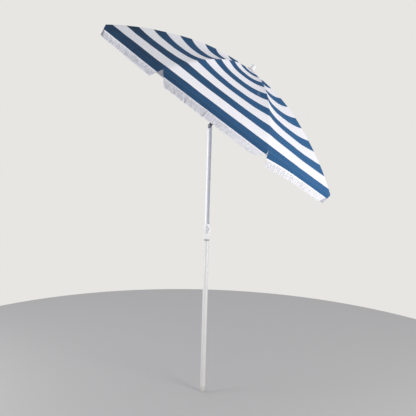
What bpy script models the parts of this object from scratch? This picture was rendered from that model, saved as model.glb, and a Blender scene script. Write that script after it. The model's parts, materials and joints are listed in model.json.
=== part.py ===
"""Beach umbrella with a telescopic pole, a tilt joint and an eight-rib folding canopy.

Metres, +Z up. The point of the ground spike is at the origin and the pole stands on +Z.
The canopy is open and tilted towards +X. Everything above the tilt joint is modelled in the
head's own frame (origin on the tilt pin, +Z along the canopy's axis) and parented to an empty.
"""

import math

import bmesh
import bpy
from mathutils import Matrix, Vector

# Ground spike and lower pole
SPIKE_HEIGHT = 0.042
SPIKE_PLUG_TOP = 0.090
LOWER_OUTER_R = 0.0160
LOWER_INNER_R = 0.0151
LOWER_TOP = 0.998

# Clamp at the top of the lower pole
RING_TOP = 1.0078
COLLAR_TOP = 1.105
COLLAR_BORE_R = 0.0140
COLLAR_SPIGOT_R = 0.0148
COLLAR_SPIGOT_BOTTOM = 0.938
CLAMP_Z = 1.072
CLAMP_AZIMUTH = math.radians(-62.0)

# Upper pole
TUBE_R = 0.0138
TUBE_BORE_R = 0.0126
PLUG_R = 0.0122
UPPER_BOTTOM = 0.700

# Tilt joint
PIVOT_Z = 1.714
TILT = math.radians(35.3)
PIN_R = 0.0030
PIN_HOLE_R = 0.0033
BUTTON_DROP = 0.042

# Canopy, in the head frame
CROWN_Z = 0.4155
RIBS = 8
RIB_STEP = 2 * math.pi / RIBS
FIRST_RIB = RIB_STEP / 2
RIB_LENGTH = 0.900
HUB_START_R = 0.022
SLOPE_HUB = math.radians(4.05)
SLOPE_RIM = math.radians(35.75)
RIB_R = 0.00225
RIB_DEPTH = 0.0048
FABRIC_START = 0.0025
FABRIC_THICKNESS = 0.0010
FABRIC_SAG = 0.015
FLAP_DROP = 0.070
FLAP_TAPER = 0.055
SEAM_GAP = 0.0002

# Stretcher linkage
CLIP_AT = 0.165
CLIP_PIVOT_DROP = 0.0085
STRUT_LENGTH = 0.225
RIB_STATIONS = (0.060, 0.120, CLIP_AT - 0.008, CLIP_AT + 0.008, 0.240, 0.330, 0.420, 0.510,
                0.600, 0.690, 0.780, 0.840)
BLADE_HALF = 0.0012
EYE_R = 0.0034

SIDES = 32


def rib_slope(s):
    """Angle below horizontal of the canopy's ridge, s metres along it from the hub."""
    return SLOPE_HUB + (SLOPE_RIM - SLOPE_HUB) * s / RIB_LENGTH


def ridge(s):
    """(radius, height) in the head frame of the fabric's outer face over a rib."""
    rate = (SLOPE_RIM - SLOPE_HUB) / RIB_LENGTH
    slope = rib_slope(s)
    radius = HUB_START_R + (math.sin(slope) - math.sin(SLOPE_HUB)) / rate
    height = CROWN_Z + (math.cos(slope) - math.cos(SLOPE_HUB)) / rate
    return radius, height


def below_ridge(s, depth):
    """The point that lies depth metres under the ridge, square to it."""
    radius, height = ridge(s)
    slope = rib_slope(s)
    return radius - depth * math.sin(slope), height - depth * math.cos(slope)


RIB_PIVOT = below_ridge(0.0, RIB_DEPTH)
CLIP_PIVOT = below_ridge(CLIP_AT, RIB_DEPTH + CLIP_PIVOT_DROP)
STRUT_LEAN = math.asin((CLIP_PIVOT[0] - RIB_PIVOT[0]) / STRUT_LENGTH)
RUNNER_Z = CLIP_PIVOT[1] - STRUT_LENGTH * math.cos(STRUT_LEAN)


def clear_scene():
    """Removes whatever the startup file holds."""
    for obj in list(bpy.data.objects):
        bpy.data.objects.remove(obj, do_unlink=True)


def make_material(name, color, roughness, metallic=0.0):
    """A plain Principled material in the sub-part's own colour."""
    material = bpy.data.materials.new(name)
    material.use_nodes = True
    shader = material.node_tree.nodes["Principled BSDF"]
    shader.inputs["Base Color"].default_value = (*color, 1.0)
    shader.inputs["Roughness"].default_value = roughness
    shader.inputs["Metallic"].default_value = metallic
    material.diffuse_color = (*color, 1.0)
    return material


def mesh_from(name, bm):
    """Turns a bmesh into a mesh whose faces all point outwards."""
    bmesh.ops.recalc_face_normals(bm, faces=bm.faces[:])
    mesh = bpy.data.meshes.new(name)
    bm.to_mesh(mesh)
    bm.free()
    return mesh


def place(name, mesh, material, parent=None, matrix=None):
    """One named object for a sub-part, with its own material."""
    obj = bpy.data.objects.new(name, mesh.copy())
    obj.data.name = name
    obj.data.materials.clear()
    obj.data.materials.append(material)
    bpy.context.scene.collection.objects.link(obj)
    obj.parent = parent
    obj.matrix_local = matrix or Matrix.Identity(4)
    return obj


def add_empty(name, matrix, parent=None):
    """An empty on a joint's axis, for the pieces that move about it."""
    empty = bpy.data.objects.new(name, None)
    empty.empty_display_size = 0.05
    bpy.context.scene.collection.objects.link(empty)
    empty.parent = parent
    empty.matrix_local = matrix
    return empty


def along(direction):
    """Rotation that takes +Z onto a direction."""
    return Vector((0, 0, 1)).rotation_difference(Vector(direction)).to_matrix().to_4x4()


def lathe(profile, sides=SIDES):
    """Solid of revolution about Z from an (r, z) outline; ends on the axis or a closed loop."""
    bm = bmesh.new()
    verts = [bm.verts.new((r, 0.0, z)) for r, z in profile]
    edges = [bm.edges.new(pair) for pair in zip(verts, verts[1:])]
    if profile[0][0] > 0:
        edges.append(bm.edges.new((verts[-1], verts[0])))
    bmesh.ops.spin(bm, geom=verts + edges, cent=(0, 0, 0), axis=(0, 0, 1),
                   angle=2 * math.pi, steps=sides, use_merge=True)
    bmesh.ops.remove_doubles(bm, verts=bm.verts[:], dist=1e-6)
    return bm


def tube(outer, inner, bottom, top, sides=SIDES):
    """A plain round tube about Z."""
    return lathe([(inner, bottom), (outer, bottom), (outer, top), (inner, top)], sides)


def cylinder(radius, start, end, sides=16):
    """A solid cylinder between two points."""
    start, end = Vector(start), Vector(end)
    bm = bmesh.new()
    bmesh.ops.create_cone(bm, cap_ends=True, segments=sides, radius1=radius, radius2=radius,
                          depth=(end - start).length)
    bmesh.ops.transform(bm, verts=bm.verts[:],
                        matrix=Matrix.Translation((start + end) / 2) @ along(end - start))
    return bm


def box(low, high, matrix=None):
    """A box between two corners, optionally moved by a matrix."""
    bm = bmesh.new()
    bmesh.ops.create_cube(bm, size=1.0)
    size = [b - a for a, b in zip(low, high)]
    middle = [(a + b) / 2 for a, b in zip(low, high)]
    placed = Matrix.Translation(middle) @ Matrix.Diagonal((*size, 1.0))
    bmesh.ops.transform(bm, verts=bm.verts[:], matrix=(matrix or Matrix.Identity(4)) @ placed)
    return bm


def merged(shapes):
    """Several separate shapes as one bmesh, for use as one cutter."""
    whole = bmesh.new()
    for shape in shapes:
        piece = mesh_from("piece", shape)
        whole.from_mesh(piece)
        bpy.data.meshes.remove(piece)
    return whole


def carve(name, base, steps):
    """Applies Boolean steps [(operation, bmesh), ...] to a shape and returns the mesh."""
    body = bpy.data.objects.new(name, mesh_from(name, base))
    bpy.context.scene.collection.objects.link(body)
    tools = []
    for operation, shape in steps:
        tool = bpy.data.objects.new(name + "_tool", mesh_from(name + "_tool", shape))
        bpy.context.scene.collection.objects.link(tool)
        tool.hide_render = True
        tools.append(tool)
        modifier = body.modifiers.new(operation.title(), "BOOLEAN")
        modifier.operation = operation
        modifier.solver = "EXACT"
        modifier.object = tool
    bpy.context.view_layer.update()
    graph = bpy.context.evaluated_depsgraph_get()
    mesh = bpy.data.meshes.new_from_object(body.evaluated_get(graph), depsgraph=graph)
    for obj in [body, *tools]:
        bpy.data.objects.remove(obj, do_unlink=True)
    return mesh


def loft(sections):
    """Skins closed sections of equal length and caps both ends."""
    bm = bmesh.new()
    loops = [[bm.verts.new(point) for point in section] for section in sections]
    count = len(loops[0])
    for first, second in zip(loops, loops[1:]):
        for i in range(count):
            j = (i + 1) % count
            bm.faces.new((first[i], first[j], second[j], second[i]))
    bm.faces.new(loops[0][::-1])
    bm.faces.new(loops[-1])
    return bm


def section(centre, angle, half_y, half_z):
    """Chamfered eight-point section at (x, z), its plane turned down by angle about Y."""
    corner = math.tan(math.pi / 8)
    corner_y, corner_z = half_y * corner, half_z * corner
    outline = [(half_y, -corner_z), (half_y, corner_z), (corner_y, half_z),
               (-corner_y, half_z), (-half_y, corner_z), (-half_y, -corner_z),
               (-corner_y, -half_z), (corner_y, -half_z)]
    x, z = centre
    return [(x + up * math.sin(angle), side, z + up * math.cos(angle)) for side, up in outline]


def eye_half_height(offset):
    """Half height of a flattened eye, offset metres from its pivot."""
    inside = EYE_R ** 2 - min(abs(offset), EYE_R * 0.94) ** 2
    return math.sqrt(inside)


# Pole -----------------------------------------------------------------------------------------


def spike_mesh():
    """Pointed plastic plug with four flutes."""
    base = lathe([(0, 0), (0.0034, 0), (0.0060, 0.0022), (0.0155, 0.0390), (0.0158, SPIKE_HEIGHT),
                  (0.0147, SPIKE_HEIGHT), (0.0147, 0.088), (0.0135, SPIKE_PLUG_TOP),
                  (0, SPIKE_PLUG_TOP)])
    lean = Matrix.Rotation(math.atan(0.0095 / 0.0368), 4, "Y")
    flutes = [
        box((-0.0032, -0.0021, -0.012), (0.0100, 0.0021, 0.0255),
            Matrix.Rotation(i * math.pi / 2, 4, "Z") @ Matrix.Translation((0.0105, 0, 0.0085)) @ lean)
        for i in range(4)
    ]
    return carve("ground_spike", base, [("DIFFERENCE", merged(flutes))])


def collar_mesh():
    """Plastic sleeve with a spigot in the lower tube, a screw boss and a relief slit."""
    base = lathe([(COLLAR_BORE_R, COLLAR_SPIGOT_BOTTOM), (COLLAR_SPIGOT_R, COLLAR_SPIGOT_BOTTOM),
                  (COLLAR_SPIGOT_R, RING_TOP + 0.0003), (0.0163, RING_TOP + 0.0003), (0.0165, 1.022),
                  (0.0187, 1.034), (0.0187, 1.096), (0.0170, COLLAR_TOP), (COLLAR_BORE_R, COLLAR_TOP)])
    turn = Matrix.Rotation(CLAMP_AZIMUTH, 4, "Z")

    def at(radius):
        return turn @ Vector((radius, 0, CLAMP_Z))

    slit = box((-0.030, -0.0011, 1.046), (-0.005, 0.0011, COLLAR_TOP + 0.01), turn)
    return carve("clamp_collar", base, [
        ("UNION", cylinder(0.0105, at(0.0150), at(0.0300), 24)),
        ("DIFFERENCE", cylinder(0.0034, at(0.0100), at(0.0400), 16)),
        ("DIFFERENCE", cylinder(0.0055, at(0.0246), at(0.0400), 16)),
        ("DIFFERENCE", slit),
    ])


def wing_screw_mesh():
    """Screw along local +X from the pole's axis, with a hub and two wings in the XZ plane."""
    outline = [(0.0335, -0.0040), (0.0375, -0.0130), (0.0392, -0.0225), (0.0425, -0.0240),
               (0.0462, -0.0232), (0.0470, -0.0120), (0.0436, 0.0000), (0.0470, 0.0120),
               (0.0462, 0.0232), (0.0425, 0.0240), (0.0392, 0.0225), (0.0375, 0.0130),
               (0.0335, 0.0040)]
    wings = bmesh.new()
    face = wings.faces.new([wings.verts.new((x, -0.0030, z)) for x, z in outline])
    grown = bmesh.ops.extrude_face_region(wings, geom=[face])
    bmesh.ops.translate(wings, vec=(0, 0.0060, 0),
                        verts=[v for v in grown["geom"] if isinstance(v, bmesh.types.BMVert)])
    return carve("clamp_wing_screw", cylinder(PIN_R, (0.0143, 0, 0), (0.0350, 0, 0), 16), [
        ("UNION", cylinder(0.0072, (0.0322, 0, 0), (0.0440, 0, 0), 20)),
        ("UNION", wings),
    ])


def upper_tube_mesh():
    """Upper tube with a slanted top edge and a hole for the tilt button."""
    drop = math.atan2(0.0130, 2 * TUBE_R)
    cut = (Matrix.Translation((0, 0, PIVOT_Z - 0.0125)) @ Matrix.Rotation(-drop, 4, "Y"))
    button_z = PIVOT_Z - BUTTON_DROP
    return carve("upper_tube", tube(TUBE_R, TUBE_BORE_R, UPPER_BOTTOM, PIVOT_Z - 0.001), [
        ("DIFFERENCE", box((-0.04, -0.04, 0), (0.04, 0.04, 0.05), cut)),
        ("DIFFERENCE", cylinder(0.0042, (0, 0.006, button_z), (0, 0.020, button_z), 16)),
    ])


def build_pole(paint):
    """Everything that stands on the world's Z axis, up to the tilt pin."""
    place("ground_spike", spike_mesh(), paint["spike"])
    place("lower_tube", mesh_from("lower_tube", tube(LOWER_OUTER_R, LOWER_INNER_R,
                                                     SPIKE_HEIGHT + 0.0003, LOWER_TOP)), paint["pole"])
    place("collar_ring", mesh_from("collar_ring", tube(0.0162, LOWER_INNER_R, LOWER_TOP + 0.0003,
                                                       RING_TOP)), paint["dark"])
    place("clamp_collar", collar_mesh(), paint["plastic"])

    turn = Matrix.Rotation(CLAMP_AZIMUTH, 4, "Z")
    clamp = add_empty("clamp_axis", Matrix.Translation((0, 0, CLAMP_Z)) @ turn)
    nut = tube(0.0051, 0.0034, 0.0249, 0.0312, 16)
    bmesh.ops.transform(nut, verts=nut.verts[:], matrix=Matrix.Rotation(math.pi / 2, 4, "Y"))
    place("clamp_insert", mesh_from("clamp_insert", nut), paint["brass"], clamp)
    place("clamp_wing_screw", wing_screw_mesh(), paint["plastic"], clamp)

    slide = add_empty("pole_slide_axis", Matrix.Translation((0, 0, UPPER_BOTTOM)))
    bush = lathe([(0, -0.0120), (0.0138, -0.0120), (0.0147, -0.0105), (0.0147, -0.0003),
                  (PLUG_R, -0.0003), (PLUG_R, 0.0285), (0.0110, 0.0300), (0, 0.0300)])
    place("guide_bush", mesh_from("guide_bush", bush), paint["dark"], slide)
    place("upper_tube", upper_tube_mesh(), paint["upper"])


# Tilt joint -----------------------------------------------------------------------------------


def fork_mesh():
    """Lower half of the tilt joint, origin on the pin: a plug with two ears."""
    base = lathe([(0, -0.075), (0.0112, -0.075), (PLUG_R, -0.0735), (PLUG_R, 0.0080),
                  (0.0108, 0.0096), (0, 0.0096)])
    return carve("tilt_fork", base, [
        ("DIFFERENCE", box((-0.02, -0.0064, -0.0138), (0.02, 0.0064, 0.02))),
        ("DIFFERENCE", cylinder(PIN_HOLE_R, (0, -0.02, 0), (0, 0.02, 0))),
        ("DIFFERENCE", cylinder(0.0040, (0, 0.0010, -BUTTON_DROP), (0, 0.02, -BUTTON_DROP))),
    ])


def tongue_mesh():
    """Upper half of the tilt joint, origin on the pin: a tongue, a shoulder and a plug."""
    base = lathe([(0, 0.0165), (0.0142, 0.0165), (0.0150, 0.0173), (0.0150, 0.0228),
                  (0.0142, 0.0236), (PLUG_R, 0.0236), (PLUG_R, 0.069), (0.0112, 0.0705),
                  (0, 0.0705)])
    return carve("tilt_tongue", base, [
        ("UNION", box((-0.0101, -0.0058, 0.0), (0.0101, 0.0058, 0.0180))),
        ("UNION", cylinder(0.0120, (0, -0.0061, 0), (0, 0.0061, 0), 28)),
        ("DIFFERENCE", cylinder(PIN_HOLE_R, (0, -0.02, 0), (0, 0.02, 0))),
    ])


def build_tilt_joint(paint, pivot, head):
    """The two halves, their pin and the sprung push button."""
    place("tilt_fork", fork_mesh(), paint["slate"], pivot)
    pin = lathe([(0, -0.0136), (0.0036, -0.0136), (0.0045, -0.0130), (0.0045, -0.0124),
                 (PIN_R, -0.0124), (PIN_R, 0.0124), (0.0045, 0.0124), (0.0045, 0.0130),
                 (0.0036, 0.0136), (0, 0.0136)], 16)
    place("tilt_pin", mesh_from("tilt_pin", pin), paint["steel"], pivot,
          Matrix.Rotation(math.pi / 2, 4, "X"))
    button = lathe([(0, 0.0050), (0.0035, 0.0050), (0.0035, 0.0148), (0.0028, 0.0158),
                    (0.0014, 0.0163), (0, 0.0164)], 16)
    place("tilt_button", mesh_from("tilt_button", button), paint["slate"], pivot,
          Matrix.Translation((0, 0, -BUTTON_DROP)) @ Matrix.Rotation(-math.pi / 2, 4, "X"))
    place("tilt_tongue", tongue_mesh(), paint["slate"], head)


# Head -----------------------------------------------------------------------------------------


def slot_cutters(low, high):
    """Eight radial slots, one for each rib or strut blade."""
    return merged([
        box((0.0177, -0.0016, low), (0.040, 0.0016, high),
            Matrix.Rotation(FIRST_RIB + i * RIB_STEP, 4, "Z"))
        for i in range(RIBS)
    ])


def ring_shape(major, minor, major_sides, minor_sides):
    """A torus about Z, centred on z = 0."""
    circle = [(major + minor * math.cos(2 * math.pi * i / minor_sides),
               minor * math.sin(2 * math.pi * i / minor_sides)) for i in range(minor_sides)]
    return lathe(circle, major_sides)


def hub_mesh():
    """Crown hub, origin on the rib pivots' plane: slotted disc, wire groove, plug and stud hole."""
    base = lathe([(0, -0.040), (0.0112, -0.040), (PLUG_R, -0.0385), (PLUG_R, -0.0078),
                  (0.0250, -0.0078), (0.0262, -0.0066), (0.0262, 0.0014), (0.0250, 0.0026),
                  (0.0047, 0.0026), (0.0047, -0.0300), (0, -0.0300)])
    return carve("crown_hub", base, [
        ("DIFFERENCE", slot_cutters(-0.012, 0.008)),
        ("DIFFERENCE", ring_shape(RIB_PIVOT[0], 0.0014, 40, 8)),
    ])


def runner_mesh():
    """Runner, origin on the strut pivots' plane: slotted flange with a sleeve and a grip bead."""
    base = lathe([(0.0142, -0.0085), (0.0250, -0.0085), (0.0262, -0.0073), (0.0262, 0.0053),
                  (0.0250, 0.0065), (0.0172, 0.0065), (0.0172, 0.0360), (0.0190, 0.0385),
                  (0.0190, 0.0445), (0.0178, 0.0460), (0.0142, 0.0460)])
    return carve("runner", base, [("DIFFERENCE", slot_cutters(-0.012, 0.010))])


def build_crown(paint, head):
    """Top tube, hub, wire ring, fabric washer, finial and runner."""
    pivot_z = RIB_PIVOT[1]
    place("top_tube", mesh_from("top_tube", tube(TUBE_R, TUBE_BORE_R, 0.0239, pivot_z - 0.0081)),
          paint["upper"], head)
    place("crown_hub", hub_mesh(), paint["plastic"], head, Matrix.Translation((0, 0, pivot_z)))
    place("crown_wire", mesh_from("crown_wire", ring_shape(RIB_PIVOT[0], 0.0010, 40, 6)),
          paint["steel"], head, Matrix.Translation((0, 0, pivot_z)))
    cap = lathe([(0.0047, -0.0009), (0.0190, -0.0009), (0.0190, 0.0013), (0.0262, 0.0013),
                 (0.0272, 0.0028), (0.0268, 0.0048), (0.0225, 0.0078), (0.0150, 0.0095),
                 (0.0047, 0.0095)])
    place("crown_cap", mesh_from("crown_cap", cap), paint["plastic"], head,
          Matrix.Translation((0, 0, CROWN_Z)))
    finial = lathe([(0, -0.0280), (0.0043, -0.0280), (0.0043, 0.0098), (0.0168, 0.0098),
                    (0.0172, 0.0112), (0.0150, 0.0135), (0.0142, 0.0180), (0.0138, 0.0340),
                    (0.0126, 0.0372), (0.0098, 0.0392), (0.0050, 0.0402), (0, 0.0404)], 24)
    place("finial", mesh_from("finial", finial), paint["plastic"], head,
          Matrix.Translation((0, 0, CROWN_Z)))
    place("runner", runner_mesh(), paint["plastic"], head, Matrix.Translation((0, 0, RUNNER_Z)))


def rib_mesh():
    """One rib in its own frame, origin on its pivot, +X outwards: flat eye, then a round rod."""
    origin = RIB_PIVOT
    blade = [(-0.0032, None), (-0.0020, None), (0.0, None), (0.0035, 0.0030), (0.0130, 0.0028)]
    sections = []
    for offset, height in blade:
        slope = rib_slope(0.0)
        height = height or eye_half_height(offset)
        sections.append(section((offset * math.cos(slope), -offset * math.sin(slope)), slope,
                                BLADE_HALF, height))
    for s in (0.020, *RIB_STATIONS, 0.892):
        x, z = below_ridge(s, RIB_DEPTH)
        sections.append(section((x - origin[0], z - origin[1]), rib_slope(s), RIB_R, RIB_R))
    return carve("rib", loft(sections),
                 [("DIFFERENCE", cylinder(0.0014, (0, -0.01, 0), (0, 0.01, 0), 12))])


def tip_mesh():
    """Rounded plastic cap on the rib's outer end, in the frame of the rib's last stretch."""
    return mesh_from("rib_tip", lathe([(0.00280, -0.0200), (0.0033, -0.0200), (0.0036, -0.0190),
                                       (0.0036, -0.0030), (0.0028, -0.0010), (0.0012, -0.0003),
                                       (0, -0.0002), (0, -0.0055), (0.00280, -0.0055)][::-1], 12))


def clip_mesh():
    """Plastic clip round the rib with two ears and a cross pin for the strut."""
    base = box((-0.0068, -0.0040, -0.0125), (0.0068, 0.0040, -0.0010))
    bmesh.ops.bevel(base, geom=base.edges[:], offset=0.0006, segments=1, affect="EDGES")
    return carve("rib_clip", base, [
        ("UNION", cylinder(0.0036, (-0.0072, 0, 0), (0.0072, 0, 0), 16)),
        ("DIFFERENCE", box((-0.02, -0.0016, -0.02), (0.02, 0.0016, -0.0043))),
        ("DIFFERENCE", cylinder(0.0028, (-0.02, 0, 0), (0.02, 0, 0), 12)),
        ("UNION", cylinder(0.0015, (0, -0.0030, -CLIP_PIVOT_DROP), (0, 0.0030, -CLIP_PIVOT_DROP), 12)),
    ])


def strut_mesh():
    """One strut hanging along -Z from its clip pivot, with a flat eye at each end."""
    lower = -STRUT_LENGTH
    stations = [(0.0032, BLADE_HALF, None), (0.0020, BLADE_HALF, None), (0.0, BLADE_HALF, None),
                (-0.0035, BLADE_HALF, EYE_R), (-0.0110, BLADE_HALF, EYE_R), (-0.0180, 0.0021, 0.0021),
                (lower + 0.0180, 0.0021, 0.0021), (lower + 0.0110, BLADE_HALF, EYE_R),
                (lower + 0.0035, BLADE_HALF, EYE_R), (lower, BLADE_HALF, None),
                (lower - 0.0020, BLADE_HALF, None), (lower - 0.0032, BLADE_HALF, None)]
    sections = []
    for z, half_y, half_x in stations:
        offset = z if z > lower / 2 else z - lower
        sections.append(section((0, z), math.pi / 2, half_y, half_x or eye_half_height(offset)))
    return carve("strut", loft(sections), [
        ("DIFFERENCE", cylinder(0.0019, (0, -0.01, 0), (0, 0.01, 0), 12)),
        ("DIFFERENCE", cylinder(0.0017, (0, -0.01, lower), (0, 0.01, lower), 12)),
    ])


def fabric_point(s, across):
    """Fabric's outer face beside one rib: across runs 0 at the rib to 1 in mid gore."""
    radius, height = ridge(s)
    half = RIB_STEP / 2
    x = radius * (1 - across * math.sin(half) ** 2)
    y = radius * across * math.sin(half) * math.cos(half)
    share = s / RIB_LENGTH
    sag = FABRIC_SAG * 4 * share * (1 - share) * (1 - (1 - across) ** 2)
    slope = rib_slope(s)
    x -= sag * math.sin(slope) * math.cos(half)
    y -= sag * math.sin(slope) * math.sin(half)
    point = Vector((x, y, height - sag * math.cos(slope)))
    if across == 1:
        point += SEAM_GAP * Vector((math.sin(half), -math.cos(half), 0))
    return point


def panel_mesh():
    """Fabric between two mid-gore lines, with one rib under its middle and two half flaps."""
    bm = bmesh.new()
    rows = [FABRIC_START, *RIB_STATIONS, RIB_LENGTH]
    across = [0.0, 0.30, 0.62, 1.0]
    origin = Vector((RIB_PIVOT[0], 0, RIB_PIVOT[1]))

    def vert(point, side):
        return bm.verts.new((point.x - origin.x, side * point.y, point.z - origin.z))

    ridge_row = [vert(fabric_point(s, 0.0), 1) for s in rows]
    for side in (1, -1):
        columns = [ridge_row] + [[vert(fabric_point(s, a), side) for s in rows] for a in across[1:]]
        for near, far in zip(columns, columns[1:]):
            for i in range(len(rows) - 1):
                bm.faces.new((near[i], near[i + 1], far[i + 1], far[i]))
        rim_length = (fabric_point(RIB_LENGTH, 1.0) - fabric_point(RIB_LENGTH, 0.0)).length
        taper = FLAP_TAPER / rim_length
        hem = []
        for a in across:
            point = fabric_point(RIB_LENGTH, 1.0) if a == 1 else fabric_point(
                RIB_LENGTH, taper + (1 - taper) * a)
            hem.append(vert(point + Vector((0, 0, -FLAP_DROP)), side))
        for i in range(len(across) - 1):
            bm.faces.new((columns[i][-1], hem[i], hem[i + 1], columns[i + 1][-1]))
    bmesh.ops.recalc_face_normals(bm, faces=bm.faces[:])
    if sum(face.normal.z for face in bm.faces) < 0:
        bmesh.ops.reverse_faces(bm, faces=bm.faces[:])
    mesh = bpy.data.meshes.new("canopy_panel")
    bm.to_mesh(mesh)
    bm.free()
    return mesh


def build_canopy(paint, head):
    """Eight ribs, each with its tip, clip, strut and panel of fabric, on an empty on its pivot."""
    rib, tip, clip, strut, panel = rib_mesh(), tip_mesh(), clip_mesh(), strut_mesh(), panel_mesh()
    at_origin = Matrix.Translation((-RIB_PIVOT[0], 0, -RIB_PIVOT[1]))
    tip_x, tip_z = below_ridge(RIB_LENGTH, RIB_DEPTH)
    tip_place = (at_origin @ Matrix.Translation((tip_x, 0, tip_z))
                 @ Matrix.Rotation(math.pi / 2 + rib_slope(RIB_LENGTH - 0.01), 4, "Y"))
    clip_x, clip_z = below_ridge(CLIP_AT, RIB_DEPTH)
    clip_place = (at_origin @ Matrix.Translation((clip_x, 0, clip_z))
                  @ Matrix.Rotation(rib_slope(CLIP_AT), 4, "Y"))
    strut_place = (at_origin @ Matrix.Translation((CLIP_PIVOT[0], 0, CLIP_PIVOT[1]))
                   @ Matrix.Rotation(STRUT_LEAN, 4, "Y"))
    for i in range(RIBS):
        number = i + 1
        turn = Matrix.Rotation(FIRST_RIB + i * RIB_STEP, 4, "Z")
        axis = add_empty(f"rib_axis_{number}",
                         turn @ Matrix.Translation((RIB_PIVOT[0], 0, RIB_PIVOT[1])), head)
        place(f"rib_{number}", rib, paint["rib"], axis)
        place(f"rib_tip_{number}", tip, paint["plastic"], axis, tip_place)
        place(f"rib_clip_{number}", clip, paint["dark"], axis, clip_place)
        hinge = add_empty(f"strut_axis_{number}", strut_place, axis)
        place(f"strut_{number}", strut, paint["rib"], hinge)
        cloth = place(f"canopy_panel_{number}", panel, paint["fabric"], axis)
        solid = cloth.modifiers.new("Thickness", "SOLIDIFY")
        solid.thickness = FABRIC_THICKNESS
        solid.offset = -1.0


def main():
    """Builds the umbrella at rest: canopy open and tilted, pole drawn out."""
    clear_scene()
    paint = {
        "pole": make_material("pole_white", (0.80, 0.79, 0.77), 0.45),
        "upper": make_material("upper_pole_white", (0.84, 0.84, 0.87), 0.25, 0.2),
        "spike": make_material("spike_white", (0.76, 0.74, 0.72), 0.5),
        "plastic": make_material("white_plastic", (0.86, 0.86, 0.86), 0.4),
        "dark": make_material("dark_plastic", (0.16, 0.16, 0.17), 0.5),
        "slate": make_material("slate_plastic", (0.08, 0.11, 0.13), 0.45),
        "brass": make_material("brass", (0.60, 0.46, 0.25), 0.35, 1.0),
        "steel": make_material("steel", (0.62, 0.62, 0.64), 0.3, 1.0),
        "rib": make_material("rib_coating", (0.78, 0.78, 0.80), 0.35, 0.4),
        "fabric": make_material("canopy_fabric", (0.06, 0.15, 0.30), 0.85),
    }
    build_pole(paint)
    pivot = add_empty("tilt_axis", Matrix.Translation((0, 0, PIVOT_Z)))
    head = add_empty("head_axis", Matrix.Rotation(TILT, 4, "Y"), pivot)
    build_tilt_joint(paint, pivot, head)
    build_crown(paint, head)
    build_canopy(paint, head)
    bpy.context.view_layer.update()


main()
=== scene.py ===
"""Looks of a striped beach umbrella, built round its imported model.

The canopy is cut from striped canvas in eight gores, sewn over the ribs and finished with a
turned-down valance, a braid and a cut fringe. The pole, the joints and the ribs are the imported
solids, eased along their edges and given finishes.
"""

from __future__ import annotations

import json
import logging
import math
import random
from dataclasses import dataclass, field
from enum import Enum
from typing import Callable

import bmesh
import bpy
from mathutils import Matrix, Vector, noise

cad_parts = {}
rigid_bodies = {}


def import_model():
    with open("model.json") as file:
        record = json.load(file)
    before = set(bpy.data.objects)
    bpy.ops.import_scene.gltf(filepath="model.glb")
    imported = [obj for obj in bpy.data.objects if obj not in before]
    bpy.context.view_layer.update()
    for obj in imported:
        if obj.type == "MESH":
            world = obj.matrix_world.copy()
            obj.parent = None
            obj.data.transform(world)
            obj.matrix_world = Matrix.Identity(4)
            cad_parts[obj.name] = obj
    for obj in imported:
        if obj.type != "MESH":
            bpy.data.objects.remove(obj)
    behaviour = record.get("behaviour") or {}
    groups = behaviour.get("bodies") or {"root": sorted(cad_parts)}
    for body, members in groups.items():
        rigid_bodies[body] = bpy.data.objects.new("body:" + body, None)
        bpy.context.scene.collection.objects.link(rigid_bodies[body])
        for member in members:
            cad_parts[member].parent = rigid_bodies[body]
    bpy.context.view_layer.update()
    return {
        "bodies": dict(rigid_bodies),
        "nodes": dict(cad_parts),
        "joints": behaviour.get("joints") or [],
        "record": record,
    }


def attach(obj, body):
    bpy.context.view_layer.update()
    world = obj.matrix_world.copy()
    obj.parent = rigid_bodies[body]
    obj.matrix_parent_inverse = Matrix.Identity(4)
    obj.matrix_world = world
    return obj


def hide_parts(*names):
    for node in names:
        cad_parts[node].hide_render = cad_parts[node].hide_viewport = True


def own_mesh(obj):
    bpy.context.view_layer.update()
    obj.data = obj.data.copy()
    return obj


LOG = logging.getLogger("umbrella")
CUT = "cut"
SEED = 40

Color = tuple[float, float, float]
Triple = tuple[float, float, float]
Socket = bpy.types.NodeSocket


class Face(Enum):
    """The two faces of the canvas."""

    OUTER = "outer"
    UNDER = "under"


class Reach(Enum):
    """Which way a half gore runs from its rib, seen from outside the canopy."""

    LEFT = -1
    RIGHT = 1


def base_name(name: str) -> str:
    """A name without the number at its end."""
    return name.rstrip("0123456789").rstrip("_")


def shares(count: int) -> list[float]:
    """Evenly spaced values from 0 to 1, count steps apart."""
    return [i / count for i in range(count + 1)]


# Shader helpers -------------------------------------------------------------------------------


@dataclass(frozen=True)
class Tint:
    """A colour that is laid thinly over another.

    Args:
        share: How much of it shows where it is strongest.
    """

    color: Color
    share: float


@dataclass(frozen=True)
class Relief:
    """How strongly a height shows.

    Args:
        height: What a full step of the height stands for, in metres.
        strength: The bump's strength.
    """

    height: float
    strength: float


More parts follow.
